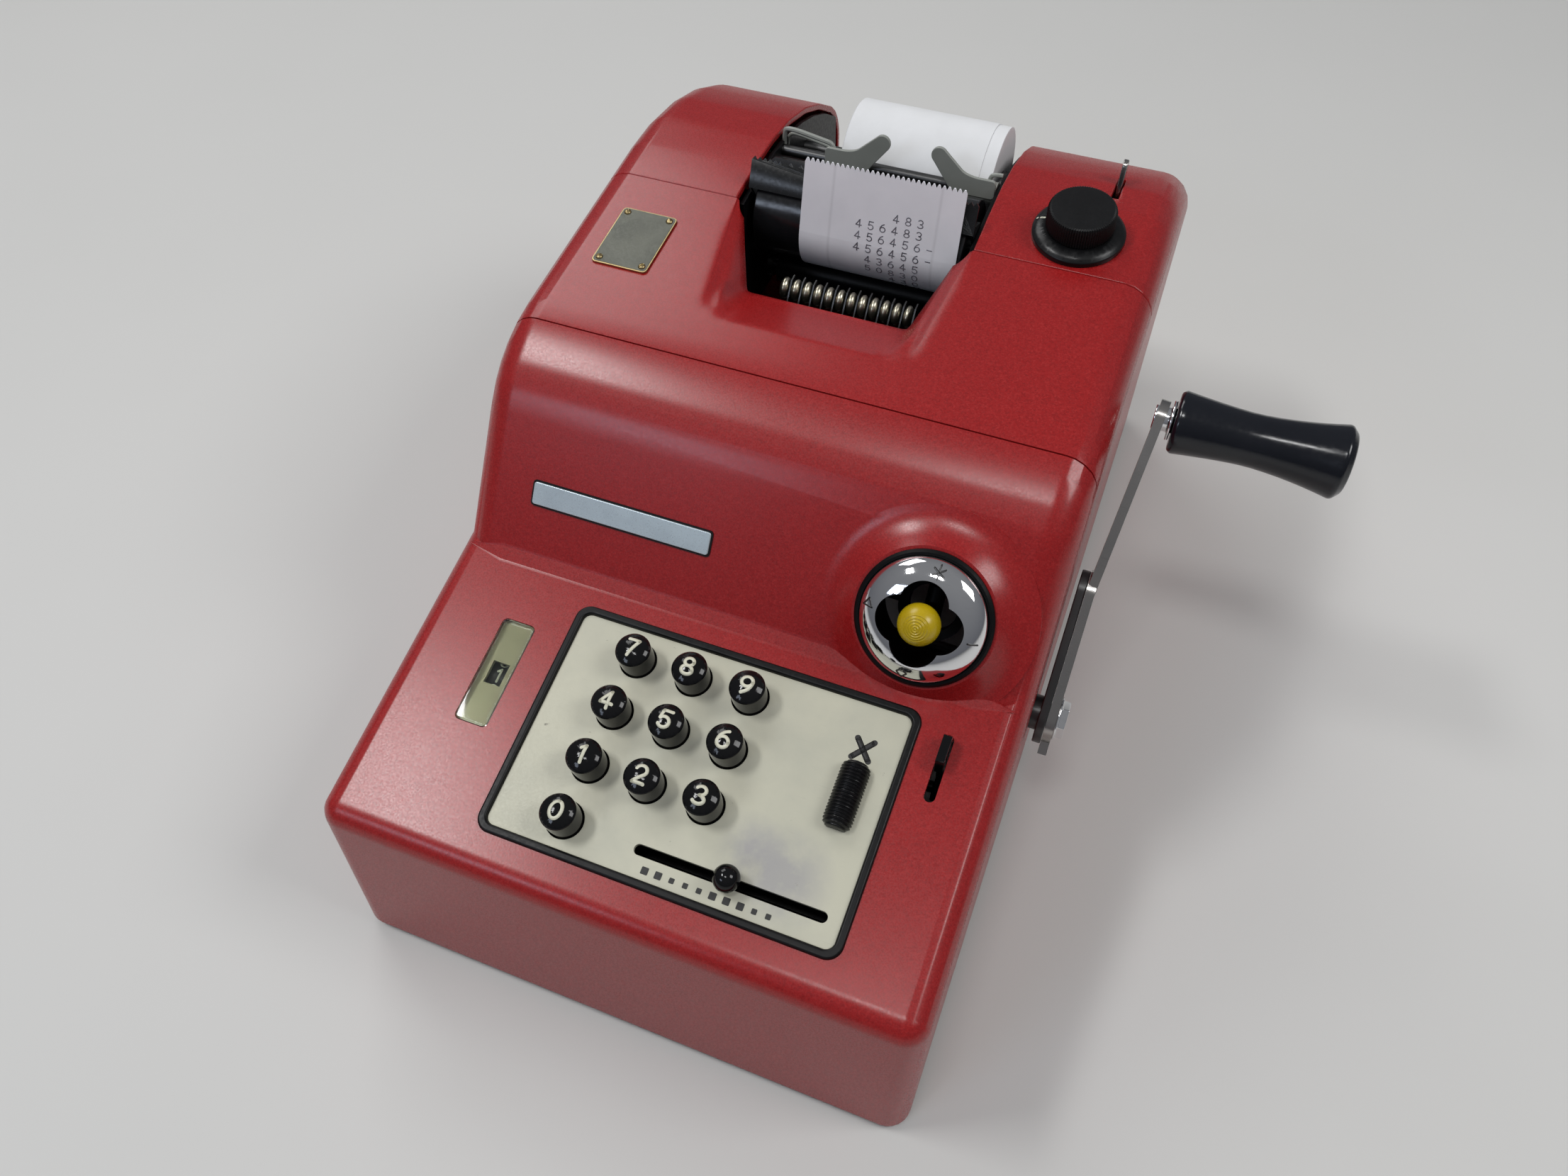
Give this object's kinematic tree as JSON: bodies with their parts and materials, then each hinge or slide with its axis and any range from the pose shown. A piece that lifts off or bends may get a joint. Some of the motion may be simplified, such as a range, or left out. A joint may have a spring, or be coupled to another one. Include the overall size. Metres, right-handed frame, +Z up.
{
  "type": "adding machine",
  "caption": "Hand-cranked printing adding machine with a sloping key deck, stick selector, open well for a paper tape, feed knob and a side crank with a hand grip.",
  "frame": {"origin": "middle of the bottom of the box round the whole machine, crank included", "axes": "+X to the crank side, +Y from the key deck to the paper well, +Z up"},
  "size_m": [0.2733, 0.3479, 0.1731],
  "materials": {
    "red_paint": "satin, finely textured",
    "black_rubber": "matte",
    "key_plate": "satin",
    "key_black": "polished",
    "steel": "plain",
    "bright": "plated",
    "dark_metal": "semi-gloss",
    "brass": "plain",
    "hammer_metal": "nickelled",
    "lens": "clear",
    "cream": "matte",
    "yellow": "polished",
    "trim_silver": "brushed",
    "badge_grey": "satin",
    "platen_rubber": "polished",
    "tape": "matte",
    "finger_grey": "satin",
    "grip_black": "polished"
  },
  "bodies": {
    "root": {"base_plate": "steel", "rubber_feet": "black_rubber", "side_frame_left": "steel", "side_frame_right": "steel", "cross_rods": "steel", "shaft_bushes": "brass", "front_cover": "red_paint", "top_cover": "red_paint", "rear_cover": "red_paint", "keyboard_trim": "black_rubber", "keyboard_plate": "key_plate", "key_guide_plate": "steel", "indicator_lens": "lens", "indicator_mask": "cream", "selector_bezel": "key_black", "selector_dome": "bright", "name_strip": "trim_silver", "badge_plate": "badge_grey", "well_liner": "dark_metal", "tear_bar": "dark_metal", "paper_strip": "tape", "roll_spindle": "steel", "knob_flange": "key_black"},
    "column_carriage": {"pin_carriage": "steel", "column_slider": "key_black"},
    "multiplier": {"multiplier_key": "key_black"},
    "mode": {"mode_lever": "key_black"},
    "counter": {"counter_wheel": "key_black"},
    "gimbal": {"selector_gimbal": "steel"},
    "selector": {"selector_stick": "steel", "selector_knob": "yellow"},
    "platen": {"platen": "platen_rubber", "platen_shaft": "steel", "platen_gear": "brass"},
    "knob": {"feed_knob": "key_black", "feed_pinion": "brass"},
    "release": {"release_shaft": "steel", "release_lever": "steel"},
    "pressure": {"pressure_roller": "black_rubber"},
    "roll": {"paper_roll": "tape"},
    "finger_left": {"paper_finger_left": "finger_grey"},
    "finger_right": {"paper_finger_right": "finger_grey"},
    "hammers": {"type_hammers": "hammer_metal"},
    "crank": {"main_shaft": "steel", "drive_cams": "steel", "crank_plate": "dark_metal", "crank_arm": "bright", "crank_nut": "bright", "grip_pin": "steel"},
    "grip": {"crank_grip": "grip_black"},
    "key_0": {"key_0": "key_black"},
    "key_1": {"key_1": "key_black"},
    "key_2": {"key_2": "key_black"},
    "key_3": {"key_3": "key_black"},
    "key_4": {"key_4": "key_black"},
    "key_5": {"key_5": "key_black"},
    "key_6": {"key_6": "key_black"},
    "key_7": {"key_7": "key_black"},
    "key_8": {"key_8": "key_black"},
    "key_9": {"key_9": "key_black"}
  },
  "joints": [
    {"name": "key_0_press", "type": "slide", "parent": "root", "child": "key_0", "axis": [0, -0.1891, 0.982], "range_m": [-0.0045, 0], "stiffness_N_per_m": 300, "springref_m": 0.003},
    {"name": "key_1_press", "type": "slide", "parent": "root", "child": "key_1", "axis": [0, -0.1891, 0.982], "range_m": [-0.0045, 0], "stiffness_N_per_m": 300, "springref_m": 0.003},
    {"name": "key_2_press", "type": "slide", "parent": "root", "child": "key_2", "axis": [0, -0.1891, 0.982], "range_m": [-0.0045, 0], "stiffness_N_per_m": 300, "springref_m": 0.003},
    {"name": "key_3_press", "type": "slide", "parent": "root", "child": "key_3", "axis": [0, -0.1891, 0.982], "range_m": [-0.0045, 0], "stiffness_N_per_m": 300, "springref_m": 0.003},
    {"name": "key_4_press", "type": "slide", "parent": "root", "child": "key_4", "axis": [0, -0.1891, 0.982], "range_m": [-0.0045, 0], "stiffness_N_per_m": 300, "springref_m": 0.003},
    {"name": "key_5_press", "type": "slide", "parent": "root", "child": "key_5", "axis": [0, -0.1891, 0.982], "range_m": [-0.0045, 0], "stiffness_N_per_m": 300, "springref_m": 0.003},
    {"name": "key_6_press", "type": "slide", "parent": "root", "child": "key_6", "axis": [0, -0.1891, 0.982], "range_m": [-0.0045, 0], "stiffness_N_per_m": 300, "springref_m": 0.003},
    {"name": "key_7_press", "type": "slide", "parent": "root", "child": "key_7", "axis": [0, -0.1891, 0.982], "range_m": [-0.0045, 0], "stiffness_N_per_m": 300, "springref_m": 0.003},
    {"name": "key_8_press", "type": "slide", "parent": "root", "child": "key_8", "axis": [0, -0.1891, 0.982], "range_m": [-0.0045, 0], "stiffness_N_per_m": 300, "springref_m": 0.003},
    {"name": "key_9_press", "type": "slide", "parent": "root", "child": "key_9", "axis": [0, -0.1891, 0.982], "range_m": [-0.0045, 0], "stiffness_N_per_m": 300, "springref_m": 0.003},
    {"name": "column_slide", "type": "slide", "parent": "root", "child": "column_carriage", "axis": [1, 0, 0], "range_m": [-0.0295, 0.0295]},
    {"name": "multiplier_slide", "type": "slide", "parent": "root", "child": "multiplier", "axis": [0, 0.982, 0.1891], "range_m": [-0.005, 0]},
    {"name": "mode_swing", "type": "hinge", "parent": "root", "child": "mode", "pos_m": [0.0453, -0.07908, 0.05377], "axis": [1, 0, 0], "range_deg": [0, 11]},
    {"name": "counter_spin", "type": "hinge", "parent": "root", "child": "counter", "pos_m": [-0.1014, -0.10366, 0.07195], "axis": [1, 0, 0], "continuous": true},
    {"name": "selector_pitch", "type": "hinge", "parent": "root", "child": "gimbal", "pos_m": [0.0279, -0.04425, 0.10468], "axis": [1, 0, 0], "range_deg": [-6, 6], "stiffness_Nm_per_rad": 0.03},
    {"name": "selector_roll", "type": "hinge", "parent": "gimbal", "child": "selector", "pos_m": [0.0279, -0.04425, 0.10468], "axis": [0, 0.6129, 0.7902], "range_deg": [-6, 6], "stiffness_Nm_per_rad": 0.03},
    {"name": "platen_spin", "type": "hinge", "parent": "root", "child": "platen", "pos_m": [-0.0352, 0.08405, 0.14306], "axis": [1, 0, 0], "continuous": true},
    {"name": "knob_spin", "type": "hinge", "parent": "root", "child": "knob", "pos_m": [0.0352, 0.0825, 0.15886], "axis": [0, -0.0976, 0.9952], "continuous": true},
    {"name": "release_swing", "type": "hinge", "parent": "root", "child": "release", "pos_m": [-0.0352, 0.09905, 0.11006], "axis": [1, 0, 0], "range_deg": [0, 9], "stiffness_Nm_per_rad": 0.1, "springref_deg": -17.19},
    {"name": "pressure_spin", "type": "hinge", "parent": "release", "child": "pressure", "pos_m": [-0.0352, 0.07985, 0.11923], "axis": [1, 0, 0], "continuous": true},
    {"name": "paper_roll_spin", "type": "hinge", "parent": "root", "child": "roll", "pos_m": [-0.0352, 0.12805, 0.13906], "axis": [1, 0, 0], "continuous": true},
    {"name": "finger_left_tilt", "type": "hinge", "parent": "root", "child": "finger_left", "pos_m": [-0.0352, 0.10505, 0.15206], "axis": [1, 0, 0], "range_deg": [0, 35]},
    {"name": "finger_right_tilt", "type": "hinge", "parent": "root", "child": "finger_right", "pos_m": [-0.0352, 0.10505, 0.15206], "axis": [1, 0, 0], "range_deg": [0, 35]},
    {"name": "crank_pull", "type": "hinge", "parent": "root", "child": "crank", "pos_m": [-0.0352, -0.043, 0.061], "axis": [1, 0, 0], "range_deg": [0, 95], "stiffness_Nm_per_rad": 0.25, "springref_deg": -28.65},
    {"name": "grip_spin", "type": "hinge", "parent": "crank", "child": "grip", "pos_m": [-0.0352, 0.03073, 0.13576], "axis": [1, 0, 0], "continuous": true},
    {"name": "hammer_swing", "type": "hinge", "parent": "root", "child": "hammers", "pos_m": [-0.0352, 0.03005, 0.11206], "axis": [1, 0, 0], "range_deg": [-6, 0]}
  ],
  "couplings": [
    {"joint": "knob_spin", "follows": "platen_spin", "ratio": 1.6},
    {"joint": "pressure_spin", "follows": "platen_spin", "ratio": -2.8333},
    {"joint": "paper_roll_spin", "follows": "platen_spin", "ratio": 0.79},
    {"joint": "hammer_swing", "follows": "crank_pull", "ratio": -0.06}
  ]
}
